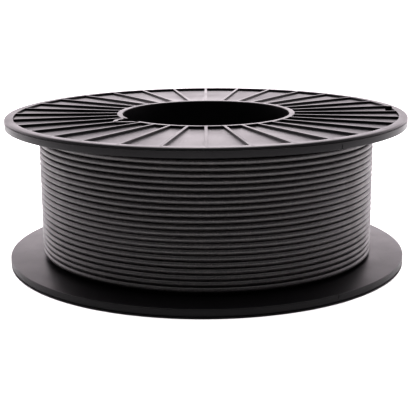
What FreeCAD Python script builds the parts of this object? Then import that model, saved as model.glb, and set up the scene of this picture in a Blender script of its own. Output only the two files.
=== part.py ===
import FreeCAD, Part
import math
import os

# A wound filament spool: two ribbed flanges on a hub barrel, carrying a strand wound in layers.
# Millimetres. The spool axis is Z, the origin is the centre of the lower flange's outer face,
# and the front is -Y. An azimuth is measured in degrees from the front towards +X.

# ---- spool ----
FLANGE_RADIUS = 100.0
SPOOL_WIDTH = 74.1
FLANGE_THICKNESS = 4.5
WEB_THICKNESS = 3.4          # floor of the pockets between the ribs
RIM_WALL = 4.4               # radial width of the raised rim
EDGE_ROUNDING = 0.9          # the rim's outer edge
INNER_CHAMFER = 0.4          # the rim's edge towards the winding
BORE_RADIUS = 41.75
HUB_WALL = 2.75

RIB_COUNT = 32
RIB_WIDTH = 1.5              # at the top of a rib
WALL_DRAFT = 0.12            # how much a pocket narrows on each side from its top to its floor
POCKET_CORNER = 1.3          # rounding of a pocket's upright corners

PARTING_DEPTH = 0.3          # groove round the rim where the mould parts
PARTING_WIDTH = 0.35
PARTING_FROM_FACE = 1.05
MARK_AZIMUTHS = (35.5, 215.5)    # where the mould's side halves meet
MARK_WIDTH = 0.6
MARK_HEIGHT = 1.7
MARK_DEPTH = 0.15

SPIGOT_RADIUS = 43.3         # the barrel's ends step down to this and sit in the flanges
SPIGOT_LENGTH = 2.6
BORE_CHAMFER = 0.3

# ---- notch in the hub for the filament's inner end, and its wall ----
NOTCH_LEFT = -42.2
NOTCH_FRONT = -28.0
NOTCH_BACK = -23.4           # where its left side meets the slanted back side
NOTCH_SLANT = 49.5           # degrees of the back side from +X towards +Y
NOTCH_REACH = 11.5           # length of the back side, which ends inside the bore
NOTCH_RIGHT = -30.0
NOTCH_WALL = 2.3
NOTCH_CORNER = 0.9
BARREL_SLOT_DEPTH = 12.0     # the notch goes on down into the barrel's wall

# ---- slot beside the rim for the filament's outer end ----
RIM_SLOT_Y = (8.3, 16.7)
RIM_SLOT_X = (91.9, 93.0)    # its inner side, at its front and at its back end
RIM_SLOT_WIDTH = 3.4

# ---- winding ----
STRAND_DIAMETER = 2.85
TURN_PITCH = 2.87
TURNS_PER_LAYER = 22
LAYER_COUNT = 14
OUTER_TURN_RADIUS = 82.2     # strand centre in the outer layer
FLANGE_GAP = 0.3             # between the winding and each flange
GROOVE_RISE = 0.37           # how far the grooves between turns lie outside the strand centres

# ---- worked out from the above ----
HUB_RADIUS = BORE_RADIUS + HUB_WALL
RIM_INNER = FLANGE_RADIUS - RIM_WALL
INNER_FACE_LOW = FLANGE_THICKNESS
INNER_FACE_HIGH = SPOOL_WIDTH - FLANGE_THICKNESS
STRAND_RADIUS = STRAND_DIAMETER / 2
INNER_TURN_RADIUS = HUB_RADIUS + STRAND_RADIUS + 0.175
LAYER_STEP = (OUTER_TURN_RADIUS - INNER_TURN_RADIUS) / (LAYER_COUNT - 1)
WINDING_LOW = INNER_FACE_LOW + FLANGE_GAP
WINDING_HIGH = INNER_FACE_HIGH - FLANGE_GAP
MID_HEIGHT = SPOOL_WIDTH / 2
RIB_STEP = 360.0 / RIB_COUNT
SEAM_TURN = 65.0             # turns the seam of the round faces away from the notch and the slot
OVERRUN = 1.0                # how far a cutter passes a face that it opens

# ---- the filament's two ends ----
START_TAIL = ((-39.9, -25.2, WINDING_HIGH), (-39.9, -25.2, 72.6))
END_TAIL = ((74.7, 41.2, 66.8), (95.0, 17.6, 67.2), (93.9, 10.6, 70.6))
END_TAIL_BEND = 11.5         # radius of the tail's bend


def vec(x, y, z):
    return FreeCAD.Vector(x, y, z)


def polar(radius, azimuth, z):
    angle = math.radians(azimuth)
    return vec(radius * math.sin(angle), -radius * math.cos(angle), z)


def edge(start, end):
    return Part.LineSegment(start, end).toShape()


def arc(start, middle, end):
    return Part.Arc(start, middle, end).toShape()


def revolve(edges):
    face = Part.Face(Part.Wire(edges))
    return face.revolve(vec(0, 0, 0), vec(0, 0, 1), 360)


def profile(points):
    # closed outline of straight edges in the XZ plane, from (radius, z) pairs
    corners = [vec(r, 0, z) for r, z in points]
    return [edge(a, b) for a, b in zip(corners, corners[1:] + corners[:1])]


def tube(inner, outer, low, high):
    ring = Part.makeCylinder(outer, high - low, vec(0, 0, low))
    return ring.cut(Part.makeCylinder(inner, high - low, vec(0, 0, low)))


def box(x_range, y_range, z_range):
    size = [high - low for low, high in (x_range, y_range, z_range)]
    return Part.makeBox(size[0], size[1], size[2], vec(x_range[0], y_range[0], z_range[0]))


def upright_edges(shape):
    return [e for e in shape.Edges if abs(e.tangentAt(e.FirstParameter).z) > 0.9]


# A flange is drawn lying on its inner face, z = 0, with its ribs upwards.

def flange_blank():
    top = FLANGE_THICKNESS
    r = FLANGE_RADIUS
    e = EDGE_ROUNDING
    bend = e * (1 - math.sqrt(0.5))
    outline = [
        edge(vec(SPIGOT_RADIUS, 0, 0), vec(r - INNER_CHAMFER, 0, 0)),
        edge(vec(r - INNER_CHAMFER, 0, 0), vec(r, 0, INNER_CHAMFER)),
        edge(vec(r, 0, INNER_CHAMFER), vec(r, 0, top - e)),
        arc(vec(r, 0, top - e), vec(r - bend, 0, top - bend), vec(r - e, 0, top)),
        edge(vec(r - e, 0, top), vec(BORE_RADIUS + BORE_CHAMFER, 0, top)),
        edge(vec(BORE_RADIUS + BORE_CHAMFER, 0, top), vec(BORE_RADIUS, 0, top - BORE_CHAMFER)),
        edge(vec(BORE_RADIUS, 0, top - BORE_CHAMFER), vec(BORE_RADIUS, 0, SPIGOT_LENGTH)),
        edge(vec(BORE_RADIUS, 0, SPIGOT_LENGTH), vec(SPIGOT_RADIUS, 0, SPIGOT_LENGTH)),
        edge(vec(SPIGOT_RADIUS, 0, SPIGOT_LENGTH), vec(SPIGOT_RADIUS, 0, 0)),
    ]
    return revolve(outline)


def pocket_wire(z, side_gap):
    # the pocket that follows the front rib, seen from above; side_gap is from each rib's centre line
    def corner(radius, side):
        return polar(radius, RIB_STEP / 2 + side * (RIB_STEP / 2 - math.degrees(math.asin(side_gap / radius))), z)

    shrink = side_gap - RIB_WIDTH / 2
    near = HUB_RADIUS + shrink
    far = RIM_INNER - shrink
    return Part.Wire([
        arc(corner(near, -1), polar(near, RIB_STEP / 2, z), corner(near, 1)),
        edge(corner(near, 1), corner(far, 1)),
        arc(corner(far, 1), polar(far, RIB_STEP / 2, z), corner(far, -1)),
        edge(corner(far, -1), corner(near, -1)),
    ])


def pocket_cutters():
    top = FLANGE_THICKNESS + OVERRUN
    slope = WALL_DRAFT / (FLANGE_THICKNESS - WEB_THICKNESS)
    low = pocket_wire(WEB_THICKNESS, RIB_WIDTH / 2 + WALL_DRAFT)
    high = pocket_wire(top, RIB_WIDTH / 2 - slope * OVERRUN)
    one = Part.makeLoft([low, high], True, True)
    one = one.makeFillet(POCKET_CORNER, upright_edges(one))
    cutters = []
    for index in range(RIB_COUNT):
        copy = one.copy()
        copy.rotate(vec(0, 0, 0), vec(0, 0, 1), index * RIB_STEP)
        cutters.append(copy)
    return cutters


def parting_groove():
    z = FLANGE_THICKNESS - PARTING_FROM_FACE
    return revolve(profile([
        (FLANGE_RADIUS - PARTING_DEPTH, z - PARTING_WIDTH / 2),
        (FLANGE_RADIUS + OVERRUN, z - PARTING_WIDTH / 2),
        (FLANGE_RADIUS + OVERRUN, z + PARTING_WIDTH / 2),
        (FLANGE_RADIUS - PARTING_DEPTH, z + PARTING_WIDTH / 2),
    ]))


def mould_marks():
    marks = []
    for azimuth in MARK_AZIMUTHS:
        mark = box((-MARK_WIDTH / 2, MARK_WIDTH / 2), (-FLANGE_RADIUS - OVERRUN, -FLANGE_RADIUS + MARK_DEPTH),
                   (-OVERRUN, MARK_HEIGHT))
        mark.rotate(vec(0, 0, 0), vec(0, 0, 1), azimuth)
        marks.append(mark)
    return marks


def plain_flange():
    flange = flange_blank().cut(parting_groove())
    flange.rotate(vec(0, 0, 0), vec(0, 0, 1), SEAM_TURN)
    return flange.cut(mould_marks())


def closed_outline(points, z):
    corners = [vec(x, y, z) for x, y in points]
    return Part.Wire([edge(a, b) for a, b in zip(corners, corners[1:] + corners[:1])])


def notch_outline(z):
    # plan of the notch; its right-hand side lies in the open bore
    slant = math.radians(NOTCH_SLANT)
    far_x = NOTCH_LEFT + NOTCH_REACH * math.cos(slant)
    far_y = NOTCH_BACK + NOTCH_REACH * math.sin(slant)
    return closed_outline([(NOTCH_RIGHT, NOTCH_FRONT), (NOTCH_LEFT, NOTCH_FRONT), (NOTCH_LEFT, NOTCH_BACK),
                           (far_x, far_y), (NOTCH_RIGHT, far_y)], z)


def notch_wall():
    face = Part.Face(notch_outline(WEB_THICKNESS)).makeOffset2D(NOTCH_WALL)
    block = face.extrude(vec(0, 0, FLANGE_THICKNESS - WEB_THICKNESS))
    return block.cut(Part.makeCylinder(BORE_RADIUS + BORE_CHAMFER, FLANGE_THICKNESS))


def notch_cutter(low, high):
    block = Part.Face(notch_outline(low)).extrude(vec(0, 0, high - low))
    return block.makeFillet(NOTCH_CORNER, [e for e in upright_edges(block) if e.CenterOfMass.x < NOTCH_LEFT + 0.1])


def rim_slot_cutter():
    front, back = RIM_SLOT_Y
    outline = closed_outline([(RIM_SLOT_X[0], front), (RIM_SLOT_X[0] + RIM_SLOT_WIDTH, front),
                              (RIM_SLOT_X[1] + RIM_SLOT_WIDTH, back), (RIM_SLOT_X[1], back)], -OVERRUN)
    return Part.Face(outline).extrude(vec(0, 0, FLANGE_THICKNESS + 2 * OVERRUN))


def lower_flange():
    flange = plain_flange().cut(pocket_cutters())
    flange = flange.mirror(vec(0, 0, 0), vec(0, 0, 1))
    flange.translate(vec(0, 0, FLANGE_THICKNESS))
    return flange


def upper_flange():
    flange = plain_flange().cut(pocket_cutters())
    flange = flange.fuse(notch_wall()).removeSplitter()
    flange = flange.cut([notch_cutter(-OVERRUN, FLANGE_THICKNESS + OVERRUN), rim_slot_cutter()])
    flange.translate(vec(0, 0, INNER_FACE_HIGH))
    return flange


def hub_barrel():
    barrel = tube(BORE_RADIUS, HUB_RADIUS, INNER_FACE_LOW, INNER_FACE_HIGH)
    spigots = tube(BORE_RADIUS, SPIGOT_RADIUS, INNER_FACE_LOW - SPIGOT_LENGTH, INNER_FACE_HIGH + SPIGOT_LENGTH)
    barrel = barrel.fuse(spigots).removeSplitter()
    return barrel.cut(notch_cutter(INNER_FACE_HIGH - BARREL_SLOT_DEPTH, SPOOL_WIDTH))


def turn_radius(layer):
    return INNER_TURN_RADIUS + layer * LAYER_STEP


def inner_layer(layer):
    inner = HUB_RADIUS if layer == 0 else turn_radius(layer) - LAYER_STEP / 2
    return tube(inner, turn_radius(layer) + LAYER_STEP / 2, WINDING_LOW, WINDING_HIGH)


def outer_layer():
    # the outer side shows one round crest for each turn
    inner = OUTER_TURN_RADIUS - LAYER_STEP / 2
    groove = OUTER_TURN_RADIUS + GROOVE_RISE
    crest = OUTER_TURN_RADIUS + STRAND_RADIUS
    first = MID_HEIGHT - (TURNS_PER_LAYER - 1) / 2 * TURN_PITCH
    low = first - TURN_PITCH / 2
    high = low + TURNS_PER_LAYER * TURN_PITCH
    outline = [edge(vec(inner, 0, low), vec(groove, 0, low))]
    for turn in range(TURNS_PER_LAYER):
        z = low + turn * TURN_PITCH
        outline.append(arc(vec(groove, 0, z), vec(crest, 0, z + TURN_PITCH / 2), vec(groove, 0, z + TURN_PITCH)))
    outline.append(edge(vec(groove, 0, high), vec(inner, 0, high)))
    outline.append(edge(vec(inner, 0, high), vec(inner, 0, low)))
    return revolve(outline)


def strand_along(path, start, direction):
    ring = Part.Wire(Part.Circle(start, direction, STRAND_RADIUS).toShape())
    return Part.Wire(path).makePipeShell([ring], True, True)


def start_tail():
    low, high = [vec(*point) for point in START_TAIL]
    return strand_along([edge(low, high)], low, high - low)


def end_tail():
    # two straight runs joined by one tangent arc
    start, corner, tip = [vec(*point) for point in END_TAIL]
    into = (corner - start).normalize()
    out = (tip - corner).normalize()
    turn = math.acos(into.dot(out))
    reach = END_TAIL_BEND * math.tan(turn / 2)
    bend_start = corner - into * reach
    bend_end = corner + out * reach
    inwards = (out - into).normalize()
    middle = corner + inwards * (END_TAIL_BEND / math.cos(turn / 2) - END_TAIL_BEND)
    path = [edge(start, bend_start), arc(bend_start, middle, bend_end), edge(bend_end, tip)]
    return strand_along(path, start, into)


def save(name, shape):
    shape.exportStep("parts/" + name + ".step")
    bounds = shape.BoundBox
    print(name, "valid", shape.isValid(), "solids", len(shape.Solids), "volume", round(shape.Volume, 1),
          "z", round(bounds.ZMin, 2), round(bounds.ZMax, 2))


def main():
    os.makedirs("parts", exist_ok=True)
    save("lower_flange", lower_flange())
    save("upper_flange", upper_flange())
    save("hub_barrel", hub_barrel())
    for layer in range(LAYER_COUNT - 1):
        save("filament_layer_%02d" % (layer + 1), inner_layer(layer))
    save("filament_layer_%02d" % LAYER_COUNT, outer_layer())
    save("filament_start_tail", start_tail())
    save("filament_end_tail", end_tail())


main()
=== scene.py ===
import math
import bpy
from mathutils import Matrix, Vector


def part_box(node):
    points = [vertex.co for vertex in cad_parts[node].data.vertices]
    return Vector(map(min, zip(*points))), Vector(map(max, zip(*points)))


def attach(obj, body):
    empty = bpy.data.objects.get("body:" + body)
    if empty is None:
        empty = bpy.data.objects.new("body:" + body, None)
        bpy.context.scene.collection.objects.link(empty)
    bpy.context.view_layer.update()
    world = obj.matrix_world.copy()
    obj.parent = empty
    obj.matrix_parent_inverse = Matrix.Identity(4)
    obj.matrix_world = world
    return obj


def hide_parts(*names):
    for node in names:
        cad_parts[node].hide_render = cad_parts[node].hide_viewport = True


bl_info = {
    "name": "Filament Spool",
    "version": (1, 0, 0),
    "blender": (4, 5, 0),
    "location": "3D View > Sidebar > Spool",
    "description": "Builds a wound filament spool round its CAD frame",
    "category": "Add Mesh",
}

import bmesh
import bpy
from bpy.props import FloatProperty, IntProperty, PointerProperty, StringProperty
from mathutils import Matrix, Vector, noise

# Everything is in metres and radians. The spool's axis is Z, the front is -Y, and an azimuth is
# measured from the front towards +X.

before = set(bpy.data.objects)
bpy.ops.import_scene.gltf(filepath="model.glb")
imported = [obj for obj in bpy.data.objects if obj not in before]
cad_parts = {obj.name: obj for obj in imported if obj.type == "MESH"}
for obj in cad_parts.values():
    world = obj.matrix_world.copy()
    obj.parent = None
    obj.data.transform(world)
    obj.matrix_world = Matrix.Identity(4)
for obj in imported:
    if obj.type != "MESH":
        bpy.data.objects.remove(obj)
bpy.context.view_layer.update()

MM = 0.001
AXIS = Vector((0, 0, 1))
CENTRE = Vector((0, 0, 0))
WELD = 0.002 * MM
SECTOR_STEPS = 10     # faces along a rim between two ribs

UPPER_LOW, UPPER_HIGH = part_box("upper_flange")
BARREL_LOW, BARREL_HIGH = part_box("hub_barrel")
FLANGE_RADIUS = UPPER_HIGH.x
FLANGE_THICKNESS = UPPER_HIGH.z - UPPER_LOW.z
INNER_FACE_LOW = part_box("lower_flange")[1].z
INNER_FACE_HIGH = UPPER_LOW.z
SPOOL_WIDTH = UPPER_HIGH.z
HUB_RADIUS = BARREL_HIGH.x
LAYER_NODES = sorted(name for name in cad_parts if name.startswith("filament_layer_"))


# ---------------------------------------------------------------- settings

def length(name, description, millimetres):
    return FloatProperty(name=name, description=description, default=millimetres * MM, unit="LENGTH")


def angle(name, description, degrees):
    return FloatProperty(name=name, description=description, default=math.radians(degrees),
                         subtype="ANGLE")


def colour(name, description, value):
    return StringProperty(name=name, description=description, default=value)


class MouldingSettings(bpy.types.PropertyGroup):
    web: length("Web", "Thickness of the floor between the ribs", 3.4)
    rim_wall: length("Rim wall", "Radial width of the raised rim", 4.4)
    hub_wall: length("Hub wall", "Wall of the hub ring and of the barrel", 2.75)
    edge: length("Edge rounding", "Rounding of the rim's outer edge, above the parting groove", 0.81)
    inner_edge: length("Inner edge", "Rounding of the rim's edge towards the winding", 0.4)
    small_edge: length("Small edges", "Rounding of the ribs' and the pockets' top edges", 0.2)
    bore_chamfer: length("Bore chamfer", "Chamfer at the mouth of the bore", 0.3)
    root: length("Root fillet", "Fillet where a wall meets the pocket's floor", 0.6)
    rib_count: IntProperty(name="Ribs", description="Radial ribs on each flange", default=32)
    rib_width: length("Rib width", "Thickness of a rib at its top", 1.5)
    corner: length("Pocket corner", "Rounding of a pocket's upright corners", 1.3)
    parting_from_face: length("Parting line", "Distance of the parting groove from the outer face", 1.05)
    parting_width: length("Parting width", "Width of the parting groove", 0.4)
    parting_depth: length("Parting depth", "Depth of the parting groove", 0.5)
    parting_lip: length("Parting lip", "Chamfer of the parting groove's inner lip", 0.2)
    spigot_radius: length("Spigot radius", "Outer radius of the barrel's ends in the flanges", 43.3)
    spigot_length: length("Spigot length", "How far the barrel's ends reach into the flanges", 2.6)
    mark_azimuth: angle("Mould mark", "Azimuth where the mould's side halves meet", 35.5)
    mark_width: length("Mark width", "Width of the mould mark round the rim", 0.6)
    mark_depth: length("Mark depth", "Depth of the mould mark in the rim", 0.15)
    mark_height: length("Mark height", "Top of the mould mark above the flange's inner face", 1.95)


class OpeningSettings(bpy.types.PropertyGroup):
    notch_left: length("Notch left", "Left side of the hub notch", -42.2)
    notch_front: length("Notch front", "Front side of the hub notch", -28.0)
    notch_back: length("Notch back", "Where the notch's left side meets its slanted back side", -23.4)
    notch_slant: angle("Notch slant", "Direction of the notch's back side from +X", 49.5)
    notch_reach: length("Notch reach", "Length of the notch's back side, which ends in the bore", 11.5)
    notch_right: length("Notch right", "Right side of the notch, in the bore", -30.0)
    notch_wall: length("Notch wall", "Wall round the hub notch", 2.3)
    notch_corner: length("Notch corner", "Rounding of the notch's corners", 0.9)
    notch_depth: length("Notch depth", "How far the notch goes down into the barrel", 12.0)
    slot_front: length("Slot front", "Front end of the slot beside the rim", 8.3)
    slot_back: length("Slot back", "Back end of the slot beside the rim", 16.7)
    slot_left: length("Slot left", "Inner side of the slot at its front end", 91.9)
    slot_lean: length("Slot lean", "How much further out the slot's back end lies", 1.1)
    slot_width: length("Slot width", "Width of the slot", 3.4)


class WindingSettings(bpy.types.PropertyGroup):
    strand: length("Filament", "Diameter of the filament", 2.85)
    pressed: length("Pressed filament", "Diameter drawn in the inner layers, which cross and press", 2.7)
    pitch: length("Pitch", "Distance between turns side by side", 2.87)
    outer_radius: length("Outer turns", "Radius of the outer layer's strand centre", 82.2)
    inner_radius: length("Inner turns", "Radius of the first layer's strand centre", 46.1)
    front_height: length("First front turn", "Height of the outer layer's lowest turn at the front", 7.3)
    clearance: length("Clearance", "Space between the end turns and a flange", 0.3)
    first_azimuth: angle("First turn", "Azimuth where the first layer starts", -70)
    last_azimuth: angle("Last turn", "Azimuth where the strand leaves the outer layer", 134.2)
    wander: length("Wander", "How far turns stray up and down", 0.3)
    joined: length("Joined", "How far an end is drawn inside the coil that it goes on from", 0.2)
    straight: length("Straight", "Straight run of the outer end as it leaves the coil", 22)
    reach: length("Reach", "Distance from the coil where the outer end starts to turn to the slot", 40)
    lead_in: length("Lead-in", "Length of the inner end's slope down to the first turn", 4)
    along_slot: length("Along the slot", "Distance from the slot's middle where the end comes in line", 9)
    before_slot: length("Before the slot", "Distance from the slot's middle where the end turns up", 4)
    past_slot: length("Past the slot", "How far past the slot's middle the end's tip stands", 2)
    tip: length("Tip", "How far the outer end's tip stands above the flange's inner face", 1)
    below: length("Below the flange", "Depth of the end's centre under the flange's inner face", 2.4225)


class FinishSettings(bpy.types.PropertyGroup):
    plastic: colour("Plastic", "Colour of the moulded plastic", "#0F0E10")
    dust: colour("Dust", "Colour of light scuffs on the plastic", "#3A393E")
    filament: colour("Filament", "Body colour of the filament", "#161417")
    # the fibre colour is a painted glint: paler than the fibres, for light caught on their ends
    glinting_fibre: colour("Fibres", "Colour of the fibre ends in the filament", "#55524F")


class StudioSettings(bpy.types.PropertyGroup):
    camera_distance: length("Camera distance", "Camera in front of the axis", 511.8)
    camera_height: length("Camera height", "Camera above the floor", 149.7)
    camera_down: angle("Look down", "Downward tilt of the camera", 13.757)
    camera_right: angle("Look right", "Turn of the camera towards +X", 0.081)
    camera_roll: angle("Roll", "Roll of the camera", -0.389)
    lens: FloatProperty(name="Lens", description="Focal length on a 36 mm sensor, in mm", default=88.53)
    floor_size: length("Floor", "Side of the floor", 6000)
    room: FloatProperty(name="Room", description="Brightness of the white room", default=2.75)
    box_height: length("Softbox height", "Height of the softbox above the floor", 1500)
    box_back: length("Softbox back", "How far behind the axis the softbox hangs", 50)
    box_width: length("Softbox width", "Width of the softbox", 1800)
    box_depth: length("Softbox depth", "Depth of the softbox", 1600)
    box_power: FloatProperty(name="Softbox power", description="Power of the softbox in watts", default=36)


# ---------------------------------------------------------------- helpers

def polar(radius, azimuth, z):
    return Vector((radius * math.sin(azimuth), -radius * math.cos(azimuth), z))


def azimuth_of(point):
    return math.atan2(point.x, -point.y)


def flat_radius(point):
    return math.hypot(point.x, point.y)


def make_object(name, bm, sharp=math.radians(40)):
    mesh = bpy.data.meshes.new(name)
    bm.to_mesh(mesh)
    bm.free()
    mesh.shade_smooth()
    mesh.set_sharp_from_angle(angle=sharp)
    obj = bpy.data.objects.new(name, mesh)
    bpy.context.scene.collection.objects.link(obj)
    return obj


def stand_for(obj, material, slot, *nodes):
    obj.data.materials.clear()
    obj.data.materials.append(material)
    if nodes:
        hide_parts(*nodes)
    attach(obj, "root")


def outline_prism(corners, low, high):
    # an upright block from the corners of its plan
    bm = bmesh.new()
    face = bm.faces.new([bm.verts.new((x, y, low)) for x, y in corners])
    made = bmesh.ops.extrude_face_region(bm, geom=[face])
    lifted = [item for item in made["geom"] if isinstance(item, bmesh.types.BMVert)]
    bmesh.ops.translate(bm, verts=lifted, vec=(0, 0, high - low))
    bmesh.ops.recalc_face_normals(bm, faces=bm.faces)
    return bm


def bevel_edges(bm, edges, offset, segments):
    bmesh.ops.bevel(bm, geom=edges, offset=offset, offset_type="OFFSET", affect="EDGES", segments=segments,
                    profile=0.5, material=-1, clamp_overlap=True)


def upright(edge):
    along = (edge.verts[0].co - edge.verts[1].co).normalized()
    return abs(along.z) > 0.99


def combine(obj, tool_bm, operation):
    # joins or cuts a block, and keeps the result as the object's own mesh
    tool = make_object("tool", tool_bm)
    step = obj.modifiers.new("block", "BOOLEAN")
    step.object = tool
    step.operation = operation
    step.solver = "EXACT"
    graph = bpy.context.evaluated_depsgraph_get()
    result = bpy.data.meshes.new_from_object(obj.evaluated_get(graph))
    obj.modifiers.clear()
    obj.data = result
    bpy.data.objects.remove(tool)


# ---------------------------------------------------------------- materials

def linear(hex_colour):
    channels = [int(hex_colour[i:i + 2], 16) / 255 for i in (1, 3, 5)]
    return [c / 12.92 if c <= 0.04045 else ((c + 0.055) / 1.055) ** 2.4 for c in channels] + [1.0]


def add_node(tree, kind, settings=(), links=()):
    # settings are node properties or (input, value); links are (input, socket that feeds it)
    node = tree.nodes.new(kind)
    for key, value in dict(settings).items():
        if isinstance(key, str) and hasattr(node, key):
            setattr(node, key, value)
        else:
            node.inputs[key].default_value = value
    for key, source in dict(links).items():
        tree.links.new(source, node.inputs[key])
    return node


def new_material(name):
    material = bpy.data.materials.new(name)
    material.use_nodes = True
    material.node_tree.nodes.clear()
    return material, material.node_tree


def ramp(tree, source, stops):
    node = add_node(tree, "ShaderNodeValToRGB", links={"Fac": source})
    elements = node.color_ramp.elements
    while len(elements) < len(stops):
        elements.new(0.5)
    for element, (position, value) in zip(elements, stops):
        element.position = position
        element.color = value if isinstance(value, (list, tuple)) else (value, value, value, 1)
    return node.outputs["Color"]


def finish_surface(tree, settings, links):
    shader = add_node(tree, "ShaderNodeBsdfPrincipled", settings, links)
    add_node(tree, "ShaderNodeOutputMaterial", links={"Surface": shader.outputs["BSDF"]})


def moulded_plastic(name):
    # Injection-moulded black ABS from a finely sparked mould: near-black body with a satin sheen
    # that turns bright at low angles, a faint grain and a few shallow scuffs.
    finish = bpy.context.scene.spool_finish
    material, tree = new_material(name)
    place = add_node(tree, "ShaderNodeTexCoord").outputs["Object"]
    grain = add_node(tree, "ShaderNodeTexNoise", {"Scale": 1 / (0.5 * MM), "Detail": 3.0}, {"Vector": place})
    cloud = add_node(tree, "ShaderNodeTexNoise", {"Scale": 1 / (22 * MM), "Detail": 4.0}, {"Vector": place})
    stretched = add_node(tree, "ShaderNodeMapping", {"Scale": (1.0, 0.18, 1.0), "Rotation": (0, 0, 0.7)},
                         {"Vector": place})
    scuff = add_node(tree, "ShaderNodeTexNoise", {"Scale": 1 / (2.2 * MM), "Detail": 5.0, "Roughness": 0.7},
                     {"Vector": stretched.outputs["Vector"]})
    marks = ramp(tree, scuff.outputs["Fac"], [(0.62, 0.0), (0.74, 1.0)])
    body = add_node(tree, "ShaderNodeMix", {"data_type": "RGBA"})
    body.inputs[6].default_value = linear(finish.plastic)
    body.inputs[7].default_value = linear(finish.dust)
    amount = add_node(tree, "ShaderNodeMath", {"operation": "MULTIPLY", 1: 0.35}, {0: marks})
    tree.links.new(amount.outputs[0], body.inputs[0])
    rough = ramp(tree, cloud.outputs["Fac"], [(0.3, 0.32), (0.7, 0.4)])
    rougher = add_node(tree, "ShaderNodeMath", {"operation": "MULTIPLY_ADD", 1: 0.08}, {0: marks, 2: rough})
    bump = add_node(tree, "ShaderNodeBump", {"Strength": 0.12, "Distance": 0.03 * MM},
                    {"Height": grain.outputs["Fac"]})
    finish_surface(tree, {"IOR": 1.53, "Specular IOR Level": 0.22},
                   {"Base Color": body.outputs[2], "Roughness": rougher.outputs[0],
                    "Normal": bump.outputs["Normal"]})
    return material


def filled_filament(name):
    # Extruded nylon filled with chopped carbon fibre: matte dark grey, peppered with paler specks at
    # the fibre ends that are painted glints, and rough enough to lose every sharp reflection. The
    # grain is drawn at 0.45 mm, coarser than the real fibres, so that it shows.
    finish = bpy.context.scene.spool_finish
    material, tree = new_material(name)
    place = add_node(tree, "ShaderNodeTexCoord").outputs["Object"]
    grain = add_node(tree, "ShaderNodeTexNoise", {"Scale": 1 / (0.45 * MM), "Detail": 4.0, "Roughness": 0.7},
                     {"Vector": place})
    patches = add_node(tree, "ShaderNodeTexNoise", {"Scale": 1 / (9 * MM), "Detail": 3.0}, {"Vector": place})
    # painted glints: paler specks where the fibre ends catch the light
    glint_specks = ramp(tree, grain.outputs["Fac"], [(0.48, 0.0), (0.72, 1.0)])
    body = add_node(tree, "ShaderNodeMix", {"data_type": "RGBA"})
    body.inputs[6].default_value = linear(finish.filament)
    body.inputs[7].default_value = linear(finish.glinting_fibre)
    tree.links.new(glint_specks, body.inputs[0])
    rough = ramp(tree, patches.outputs["Fac"], [(0.3, 0.42), (0.7, 0.52)])
    bump = add_node(tree, "ShaderNodeBump", {"Strength": 0.5, "Distance": 0.08 * MM},
                    {"Height": grain.outputs["Fac"]})
    finish_surface(tree, {"IOR": 1.53, "Specular IOR Level": 0.74},
                   {"Base Color": body.outputs[2], "Roughness": rough, "Normal": bump.outputs["Normal"]})
    return material


def studio_floor(name):
    # Matt white lacquered board: almost white, with no gloss.
    material, tree = new_material(name)
    place = add_node(tree, "ShaderNodeTexCoord").outputs["Object"]
    cloud = add_node(tree, "ShaderNodeTexNoise", {"Scale": 6.0}, {"Vector": place})
    tone = ramp(tree, cloud.outputs["Fac"], [(0.3, linear("#FAFAFA")), (0.7, linear("#FDFDFD"))])
    finish_surface(tree, {"Roughness": 0.9}, {"Base Color": tone})
    return material


# ---------------------------------------------------------------- mouldings

def flange_corners(s):
    # the section of a flange lying on its inner face, as (radius, height) pairs
    bore = HUB_RADIUS - s.hub_wall
    top = FLANGE_THICKNESS
    groove = top - s.parting_from_face
    half = s.parting_width / 2
    return [
        (s.spigot_radius, 0), (FLANGE_RADIUS, 0),
        (FLANGE_RADIUS, groove - half - s.parting_lip), (FLANGE_RADIUS - s.parting_lip, groove - half),
        (FLANGE_RADIUS - s.parting_depth, groove - half),
        (FLANGE_RADIUS - s.parting_depth, groove + half), (FLANGE_RADIUS, groove + half),
        (FLANGE_RADIUS, top), (FLANGE_RADIUS - s.rim_wall, top), (HUB_RADIUS, top),
        (bore + s.bore_chamfer, top), (bore, top - s.bore_chamfer), (bore, s.spigot_length),
        (s.spigot_radius, s.spigot_length),
    ]


CORNER_ANGLE = math.radians(40)      # an upright edge that turns more than this is a pocket's corner


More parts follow.
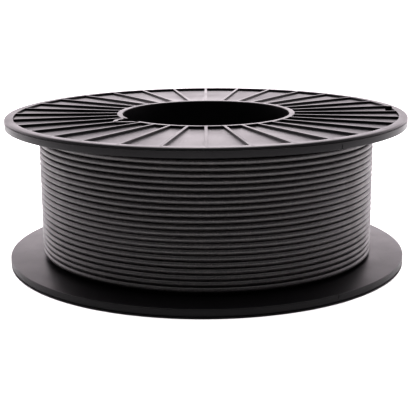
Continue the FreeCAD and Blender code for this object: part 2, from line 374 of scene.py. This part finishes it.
def carve_pocket(bm, s, step):
    # sinks the floor between the two ribs at the ends of this sector
    top = FLANGE_THICKNESS
    inner, outer = HUB_RADIUS, FLANGE_RADIUS - s.rim_wall

    def in_ring(face):
        middle = face.calc_center_median()
        return abs(middle.z - top) < WELD and inner < flat_radius(middle) < outer

    first = (Vector((1, 0, 0)), 1)
    last = (Vector((math.cos(step), math.sin(step), 0)), -1)
    for across, side in (first, last):
        ring = [face for face in bm.faces if in_ring(face)]
        ring += [edge for edge in bm.edges if any(in_ring(face) for face in edge.link_faces)]
        ring += [vert for vert in bm.verts if any(in_ring(face) for face in vert.link_faces)]
        bmesh.ops.bisect_plane(bm, geom=ring, dist=WELD, plane_co=across * side * s.rib_width / 2,
                               plane_no=across)

    def beside_ribs(face):
        middle = face.calc_center_median()
        return all(side * middle.dot(across) > s.rib_width / 2 for across, side in (first, last))

    pocket = [face for face in bm.faces if in_ring(face) and beside_ribs(face)]
    floor = bmesh.ops.dissolve_faces(bm, faces=pocket, use_verts=False)["region"]
    floor = bmesh.ops.extrude_discrete_faces(bm, faces=floor)["faces"]
    bmesh.ops.translate(bm, verts=floor[0].verts, vec=(0, 0, s.web - top))

    floor_verts = set(floor[0].verts)
    corners = [edge for edge in bm.edges
               if upright(edge) and floor_verts & set(edge.verts) and len(edge.link_faces) == 2
               and edge.calc_face_angle() > CORNER_ANGLE]
    bevel_edges(bm, corners, s.corner, 5)

    def at_height(edge, z):
        return all(abs(vert.co.z - z) < WELD for vert in edge.verts)

    def wall_beside(edge):
        return any(abs(face.normal.z) < 0.5
                   and inner - WELD < flat_radius(face.calc_center_median()) < outer + WELD
                   for face in edge.link_faces)

    bm.normal_update()
    roots = [edge for edge in bm.edges if at_height(edge, s.web) and wall_beside(edge)]
    bevel_edges(bm, roots, s.root, 3)
    bm.normal_update()
    rims = [edge for edge in bm.edges if at_height(edge, top) and wall_beside(edge)]
    bevel_edges(bm, rims, s.small_edge, 2)


def circle_edges(bm, radius, z):
    return [edge for edge in bm.edges
            if all(abs(vert.co.z - z) < WELD and abs(flat_radius(vert.co) - radius) < WELD
                   for vert in edge.verts)]


def ribbed_disc(s):
    # one sector between two ribs, spun from the section, then repeated round the axis
    bm = bmesh.new()
    step = math.tau / s.rib_count
    verts = [bm.verts.new((0, -radius, z)) for radius, z in flange_corners(s)]
    edges = [bm.edges.new(pair) for pair in zip(verts, verts[1:] + verts[:1])]
    bmesh.ops.spin(bm, geom=verts + edges, cent=CENTRE, axis=AXIS, angle=step, steps=SECTOR_STEPS,
                   use_merge=False, use_duplicate=False)
    bmesh.ops.recalc_face_normals(bm, faces=bm.faces)
    carve_pocket(bm, s, step)
    whole = bm.verts[:] + bm.edges[:] + bm.faces[:]
    bmesh.ops.spin(bm, geom=whole, cent=CENTRE, axis=AXIS, angle=step * (s.rib_count - 1),
                   steps=s.rib_count - 1, use_merge=False, use_duplicate=True)
    bmesh.ops.remove_doubles(bm, verts=bm.verts, dist=WELD)
    bmesh.ops.recalc_face_normals(bm, faces=bm.faces)
    bevel_edges(bm, circle_edges(bm, FLANGE_RADIUS, FLANGE_THICKNESS), s.edge, 5)
    bevel_edges(bm, circle_edges(bm, FLANGE_RADIUS, 0), s.inner_edge, 3)
    return bm


def mould_marks(s):
    # shallow upright dashes where the side halves of the mould met
    bm = bmesh.new()
    for turn in (s.mark_azimuth, s.mark_azimuth + math.pi):
        size = Matrix.Diagonal((s.mark_width, s.mark_depth * 2, s.mark_height * 2, 1))
        place = Matrix.Rotation(turn, 4, "Z") @ Matrix.Translation((0, -FLANGE_RADIUS, 0))
        bmesh.ops.create_cube(bm, size=1, matrix=place @ size)
    return bm


def notch_outline(o, grow):
    # plan of the notch, whose right-hand side lies in the bore, or of the block that becomes its
    # wall, whose right-hand side lies in the hub's ring
    left, front = o.notch_left - grow, o.notch_front - grow
    along = Vector((math.cos(o.notch_slant), math.sin(o.notch_slant)))
    side = Vector((o.notch_left, o.notch_back)) + Vector((-along.y, along.x)) * grow
    corner = side + along * (left - side.x) / along.x
    if grow:
        ring = HUB_RADIUS - o.notch_wall / 2
        reach = -side.dot(along) - math.sqrt(side.dot(along) ** 2 - side.length_squared + ring ** 2)
        return [(-math.sqrt(ring ** 2 - front ** 2), front), (left, front), corner, side + along * reach]
    far = side + along * o.notch_reach
    return [(o.notch_right, front), (left, front), corner, far, (o.notch_right, far.y)]


def notch_block(s, o):
    bm = outline_prism(notch_outline(o, o.notch_wall), s.web / 2, FLANGE_THICKNESS)
    outside = [edge for edge in bm.edges if upright(edge) and edge.verts[0].co.x < o.notch_left]
    bevel_edges(bm, outside, o.notch_wall, 6)
    tops = [edge for edge in bm.edges if all(vert.co.z > s.web for vert in edge.verts)]
    bevel_edges(bm, tops, s.small_edge, 2)
    return bm


def notch_cutter(o, low, high):
    bm = outline_prism(notch_outline(o, 0), low, high)
    outside = [edge for edge in bm.edges if upright(edge) and edge.verts[0].co.x < o.notch_left + WELD]
    bevel_edges(bm, outside, o.notch_corner, 5)
    return bm


def rim_slot(o):
    left, lean, width = o.slot_left, o.slot_lean, o.slot_width
    corners = [(left, o.slot_front), (left + width, o.slot_front), (left + lean + width, o.slot_back),
               (left + lean, o.slot_back)]
    return outline_prism(corners, -MM, FLANGE_THICKNESS + MM)


def settle(obj, mirror, lift):
    # turns a finished flange over where asked, and lifts it to its place
    bm = bmesh.new()
    bm.from_mesh(obj.data)
    bmesh.ops.remove_doubles(bm, verts=bm.verts, dist=WELD)
    if mirror:
        bmesh.ops.scale(bm, verts=bm.verts, vec=(1, 1, -1))
        bmesh.ops.reverse_faces(bm, faces=bm.faces)
    bmesh.ops.translate(bm, verts=bm.verts, vec=(0, 0, lift))
    bm.to_mesh(obj.data)
    bm.free()
    obj.data.shade_smooth()
    obj.data.set_sharp_from_angle(angle=math.radians(35))


class SPOOL_OT_lower_flange(bpy.types.Operator):
    """Adds the lower flange with its ribs underneath"""
    bl_idname = "spool.lower_flange"
    bl_label = "Lower flange"

    def execute(self, context):
        s = context.scene.spool_moulding
        flange = make_object("lower_flange_moulding", ribbed_disc(s))
        combine(flange, mould_marks(s), "DIFFERENCE")
        settle(flange, True, FLANGE_THICKNESS)
        stand_for(flange, moulded_plastic("Moulded ABS, lower flange"), "flange_plastic", "lower_flange")
        return {"FINISHED"}


class SPOOL_OT_upper_flange(bpy.types.Operator):
    """Adds the upper flange with the hub notch and the rim slot"""
    bl_idname = "spool.upper_flange"
    bl_label = "Upper flange"

    def execute(self, context):
        s = context.scene.spool_moulding
        o = context.scene.spool_openings
        flange = make_object("upper_flange_moulding", ribbed_disc(s))
        combine(flange, notch_block(s, o), "UNION")
        combine(flange, notch_cutter(o, -MM, FLANGE_THICKNESS + MM), "DIFFERENCE")
        combine(flange, rim_slot(o), "DIFFERENCE")
        combine(flange, mould_marks(s), "DIFFERENCE")
        settle(flange, False, INNER_FACE_HIGH)
        stand_for(flange, moulded_plastic("Moulded ABS, upper flange"), "flange_plastic", "upper_flange")
        return {"FINISHED"}


class SPOOL_OT_hub_barrel(bpy.types.Operator):
    """Adds the hub barrel between the flanges"""
    bl_idname = "spool.hub_barrel"
    bl_label = "Hub barrel"

    def execute(self, context):
        s = context.scene.spool_moulding
        o = context.scene.spool_openings
        bore = HUB_RADIUS - s.hub_wall
        bm = bmesh.new()
        spigot = s.spigot_radius
        section = [(bore, BARREL_LOW.z), (spigot, BARREL_LOW.z), (spigot, INNER_FACE_LOW),
                   (HUB_RADIUS, INNER_FACE_LOW), (HUB_RADIUS, INNER_FACE_HIGH),
                   (spigot, INNER_FACE_HIGH), (spigot, BARREL_HIGH.z), (bore, BARREL_HIGH.z)]
        verts = [bm.verts.new((0, -radius, z)) for radius, z in section]
        edges = [bm.edges.new(pair) for pair in zip(verts, verts[1:] + verts[:1])]
        bmesh.ops.spin(bm, geom=verts + edges, cent=CENTRE, axis=AXIS, angle=math.tau,
                       steps=s.rib_count * SECTOR_STEPS, use_merge=True, use_duplicate=False)
        bmesh.ops.recalc_face_normals(bm, faces=bm.faces)
        barrel = make_object("hub_barrel_moulding", bm)
        combine(barrel, notch_cutter(o, INNER_FACE_HIGH - o.notch_depth, SPOOL_WIDTH), "DIFFERENCE")
        settle(barrel, False, 0)
        stand_for(barrel, moulded_plastic("Moulded ABS, hub"), "hub_plastic", "hub_barrel")
        return {"FINISHED"}


# ---------------------------------------------------------------- winding

SPREAD = 10 * MM      # pitch of the loose coil that a layer is first spun as
LEAST_CLIMB = 0.2     # the part of a turn that the climb to the next layer takes at least
END_RISE = 0.02       # slope of the outer end as it leaves the coil
WANDER_ROUND = 1.3    # how quickly the straying changes round the coil
WANDER_HEIGHT = 11 * MM     # height over which it changes
CALM = 6 * MM         # height next to a flange over which the straying dies out


class LayerPath:
    """Where one layer's strand runs, by how many turns it has travelled. It always travels towards
    smaller azimuths, rises or falls between the flanges, and then climbs to the next layer."""

    def __init__(self, w, index):
        count = len(LAYER_NODES)
        low = INNER_FACE_LOW + w.clearance + w.strand / 2
        high = INNER_FACE_HIGH - w.clearance - w.strand / 2
        level = (high - low) / w.pitch
        outer_start = -(low - w.front_height) / w.pitch
        least = (count - 1) * (level + LEAST_CLIMB)
        quarter = (w.first_azimuth / math.tau - outer_start - least) % 1
        self.climb = LEAST_CLIMB + quarter / (count - 1)
        self.level = level
        self.rising = index % 2 == 1
        self.low, self.high = low, high
        self.pitch = w.pitch
        self.step = (w.outer_radius - w.inner_radius) / (count - 1)
        self.radius = w.inner_radius + index * self.step
        self.last = index == count - 1
        behind = (count - 1 - index) * (level + self.climb)
        self.start = math.tau * (outer_start + behind)
        if self.last:
            travelled = outer_start - w.last_azimuth / math.tau
            self.turns = math.floor(level - travelled % 1) + travelled % 1
        else:
            self.turns = level + self.climb

    def height(self, turn):
        run = min(max(turn, 0), self.level) * self.pitch
        return self.low + run if self.rising else self.high - run

    def radius_at(self, turn):
        climbed = min(max((turn - self.level) / self.climb, 0), 1)
        smooth = climbed * climbed * (3 - 2 * climbed)
        return self.radius + self.step * smooth


def wander(azimuth, z, amount):
    # turns stray together, so that neighbours stay side by side
    place = Vector((math.sin(azimuth) * WANDER_ROUND, math.cos(azimuth) * WANDER_ROUND, z / WANDER_HEIGHT))
    ends = min((z - INNER_FACE_LOW) / CALM, (INNER_FACE_HIGH - z) / CALM, 1)
    return noise.noise(place) * amount * max(ends, 0)


def loose_coil(path, diameter, sides, steps):
    # one turn is spun and repeated up the axis, and the last part of a turn is spun after it
    stand = Matrix.Rotation(math.pi / 2, 4, "Y")
    place = Matrix.Rotation(path.start, 4, "Z") @ Matrix.Translation((0, -path.radius, 0)) @ stand
    whole = math.floor(path.turns)
    rest = path.turns - whole
    bm = bmesh.new()
    for share, copies, low in ((1, whole, 0), (rest, 1, whole)):
        turn = bmesh.new()
        bmesh.ops.create_circle(turn, segments=sides, radius=diameter / 2, cap_ends=False, matrix=place)
        rings = math.ceil(share * steps)
        bmesh.ops.spin(turn, geom=turn.verts[:] + turn.edges[:], cent=CENTRE, axis=AXIS,
                       dvec=(0, 0, SPREAD * share / rings), angle=-math.tau * share, steps=rings,
                       use_merge=False, use_duplicate=False)
        mesh = bpy.data.meshes.new("turn")
        turn.to_mesh(mesh)
        turn.free()
        for index in range(copies):
            before = len(bm.verts)
            bm.from_mesh(mesh)
            bmesh.ops.translate(bm, verts=bm.verts[before:], vec=(0, 0, SPREAD * (low + index)))
        bpy.data.meshes.remove(mesh)
    bmesh.ops.remove_doubles(bm, verts=bm.verts, dist=WELD)
    return bm


def wound_layer(name, w, path, diameter, sides, steps):
    bm = loose_coil(path, diameter, sides, steps)
    for vert in bm.verts:
        azimuth = azimuth_of(vert.co)
        part = ((path.start - azimuth) / math.tau) % 1
        turn = round(vert.co.z / SPREAD - part) + part
        z = path.height(turn)
        z += wander(azimuth, z, w.wander)
        out = flat_radius(vert.co)
        scale = (out + path.radius_at(turn) - path.radius) / out
        vert.co = Vector((vert.co.x * scale, vert.co.y * scale, vert.co.z - SPREAD * turn + z))
    bmesh.ops.holes_fill(bm, edges=[edge for edge in bm.edges if edge.is_boundary], sides=0)
    bmesh.ops.recalc_face_normals(bm, faces=bm.faces)
    return make_object(name, bm, math.radians(60))


class SPOOL_OT_winding(bpy.types.Operator):
    """Winds the filament in layers, to and fro between the flanges"""
    bl_idname = "spool.winding"
    bl_label = "Winding"

    def execute(self, context):
        w = context.scene.spool_winding
        material = filled_filament("Fibre-filled nylon filament")
        for index, node in enumerate(LAYER_NODES):
            path = LayerPath(w, index)
            # the layer that shows is drawn finer
            diameter, sides, steps = (w.strand, 16, 144) if path.last else (w.pressed, 8, 72)
            layer = wound_layer("strand_layer_%02d" % (index + 1), w, path, diameter, sides, steps)
            stand_for(layer, material, "filament", node)
        return {"FINISHED"}


def strand_curve(name, points, diameter):
    curve = bpy.data.curves.new(name, "CURVE")
    curve.dimensions = "3D"
    spline = curve.splines.new("NURBS")
    spline.points.add(len(points) - 1)
    for point, place in zip(spline.points, points):
        point.co = (*place, 1)
    spline.order_u = 3
    spline.use_endpoint_u = True
    spline.resolution_u = 12
    curve.bevel_depth = diameter / 2
    curve.bevel_resolution = 6
    curve.use_fill_caps = True
    obj = bpy.data.objects.new(name, curve)
    bpy.context.scene.collection.objects.link(obj)
    graph = bpy.context.evaluated_depsgraph_get()
    mesh = bpy.data.meshes.new_from_object(obj.evaluated_get(graph))
    bpy.data.objects.remove(obj)
    bm = bmesh.new()
    bm.from_mesh(mesh)
    bmesh.ops.remove_doubles(bm, verts=bm.verts, dist=WELD)
    bmesh.ops.recalc_face_normals(bm, faces=bm.faces)
    return make_object(name, bm, math.radians(60))


class SPOOL_OT_strand_ends(bpy.types.Operator):
    """Adds the strand's two ends, in the hub notch and in the rim slot"""
    bl_idname = "spool.strand_ends"
    bl_label = "Strand ends"

    def execute(self, context):
        w = context.scene.spool_winding
        o = context.scene.spool_openings
        material = filled_filament("Fibre-filled nylon filament, ends")
        low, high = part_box("filament_start_tail")
        foot = (low + high) / 2
        first = LayerPath(w, 0)
        landing = polar(first.radius, first.start, first.height(0))
        along = Vector((-math.cos(first.start), -math.sin(first.start), 0))
        start = [Vector((foot.x, foot.y, high.z)), Vector((foot.x, foot.y, low.z)),
                 landing - along * w.lead_in, landing + along * w.joined]
        stand_for(strand_curve("strand_inner_end", start, w.pressed), material, "filament",
                  "filament_start_tail")

        last = LayerPath(w, len(LAYER_NODES) - 1)
        leave = last.start - math.tau * last.turns
        origin = polar(last.radius, leave, last.height(last.turns))
        along = Vector((-math.cos(leave), -math.sin(leave), END_RISE))
        track = Vector((o.slot_left + (o.slot_lean + o.slot_width) / 2, (o.slot_front + o.slot_back) / 2, 0))
        slope = Vector((o.slot_lean, o.slot_back - o.slot_front, 0)).normalized()
        under = AXIS * (INNER_FACE_HIGH - w.below)
        end = [origin - along * w.joined, origin + along * w.straight, origin + along * w.reach,
               track + slope * w.along_slot + under, track + slope * w.before_slot + under,
               track - slope * w.past_slot + AXIS * (INNER_FACE_HIGH + w.tip)]
        stand_for(strand_curve("strand_outer_end", end, w.strand), material, "filament", "filament_end_tail")
        return {"FINISHED"}


# ---------------------------------------------------------------- stage

def area_light(name, place, target, size, power):
    light = bpy.data.lights.new(name, "AREA")
    light.shape = "RECTANGLE"
    light.size, light.size_y = size
    light.energy = power
    obj = bpy.data.objects.new(name, light)
    obj.location = place
    obj.rotation_euler = (Vector(target) - Vector(place)).to_track_quat("-Z", "Y").to_euler()
    obj.visible_camera = False
    bpy.context.scene.collection.objects.link(obj)


def studio_world(t):
    # a white room that is dim in front of the object and brightest behind it, with a fainter band
    # on each side of the bright middle
    world = bpy.data.worlds.new("Studio")
    world.use_nodes = True
    tree = world.node_tree
    tree.nodes.clear()
    place = add_node(tree, "ShaderNodeTexCoord").outputs["Generated"]
    split = add_node(tree, "ShaderNodeSeparateXYZ", links={"Vector": place})
    depth = add_node(tree, "ShaderNodeMapRange", {"From Min": -1.0, "From Max": 1.0},
                     {"Value": split.outputs["Y"]})
    level = ramp(tree, depth.outputs["Result"],
                 [(0.0, 0.01), (0.15, 0.02), (0.4, 0.18), (0.65, 0.55), (0.83, 0.88), (0.93, 0.92),
                  (1.0, 0.88)])
    aside = add_node(tree, "ShaderNodeMath", {"operation": "ABSOLUTE"}, {0: split.outputs["X"]})
    spread = ramp(tree, aside.outputs["Value"], [(0.05, 1.0), (0.16, 0.7), (0.35, 0.75), (0.6, 1.0)])
    both = add_node(tree, "ShaderNodeMath", {"operation": "MULTIPLY"}, {0: level, 1: spread})
    strength = add_node(tree, "ShaderNodeMath", {"operation": "MULTIPLY", 1: t.room},
                        {0: both.outputs["Value"]})
    shader = add_node(tree, "ShaderNodeBackground", {"Color": linear("#FFF6FB")},
                      {"Strength": strength.outputs["Value"]})
    add_node(tree, "ShaderNodeOutputWorld", links={"Surface": shader.outputs["Background"]})
    bpy.context.scene.world = world


class SPOOL_OT_stage(bpy.types.Operator):
    """Adds the floor, the soft studio light and the camera"""
    bl_idname = "spool.stage"
    bl_label = "Stage"

    def execute(self, context):
        scene = context.scene
        t = scene.spool_studio
        bm = bmesh.new()
        bmesh.ops.create_grid(bm, x_segments=4, y_segments=4, size=t.floor_size / 2)
        floor = make_object("studio_floor", bm)
        floor.data.materials.append(studio_floor("Matt white board"))
        studio_world(t)
        area_light("Top softbox", (0, t.box_back, t.box_height), CENTRE, (t.box_width, t.box_depth),
                   t.box_power)

        camera = bpy.data.objects.new("Camera", bpy.data.cameras.new("Camera"))
        camera.data.lens = t.lens
        camera.data.sensor_width = 36
        camera.location = (0, -t.camera_distance, t.camera_height)
        down, right = t.camera_down, t.camera_right
        forward = Vector((math.sin(right) * math.cos(down), math.cos(right) * math.cos(down),
                          -math.sin(down)))
        aim = forward.to_track_quat("-Z", "Y").to_matrix().to_4x4()
        camera.rotation_euler = (aim @ Matrix.Rotation(t.camera_roll, 4, "Z")).to_euler()
        scene.collection.objects.link(camera)
        scene.camera = camera
        scene.view_settings.view_transform = "Standard"
        scene.view_settings.look = "High Contrast"
        return {"FINISHED"}


# ---------------------------------------------------------------- add-on

class SPOOL_PT_panel(bpy.types.Panel):
    """Lists the spool's pieces"""
    bl_idname = "SPOOL_PT_panel"
    bl_label = "Filament Spool"
    bl_space_type = "VIEW_3D"
    bl_region_type = "UI"
    bl_category = "Spool"

    def draw(self, context):
        for operator in OPERATORS:
            self.layout.operator(operator.bl_idname)
        for name in GROUPS:
            group = getattr(context.scene, name)
            for field in group.__annotations__:
                self.layout.prop(group, field)


OPERATORS = [SPOOL_OT_stage, SPOOL_OT_lower_flange, SPOOL_OT_upper_flange, SPOOL_OT_hub_barrel,
             SPOOL_OT_winding, SPOOL_OT_strand_ends]
GROUPS = {"spool_moulding": MouldingSettings, "spool_openings": OpeningSettings,
          "spool_winding": WindingSettings, "spool_finish": FinishSettings, "spool_studio": StudioSettings}


def register():
    for group in GROUPS.values():
        bpy.utils.register_class(group)
    for name, group in GROUPS.items():
        setattr(bpy.types.Scene, name, PointerProperty(type=group))
    for item in OPERATORS + [SPOOL_PT_panel]:
        bpy.utils.register_class(item)


def unregister():
    for item in [SPOOL_PT_panel] + OPERATORS[::-1]:
        bpy.utils.unregister_class(item)
    for name in GROUPS:
        delattr(bpy.types.Scene, name)
    for group in GROUPS.values():
        bpy.utils.unregister_class(group)


def main():
    register()
    bpy.ops.spool.stage()
    bpy.ops.spool.lower_flange()
    bpy.ops.spool.upper_flange()
    bpy.ops.spool.hub_barrel()
    bpy.ops.spool.winding()
    bpy.ops.spool.strand_ends()


if __name__ == "__main__":
    main()
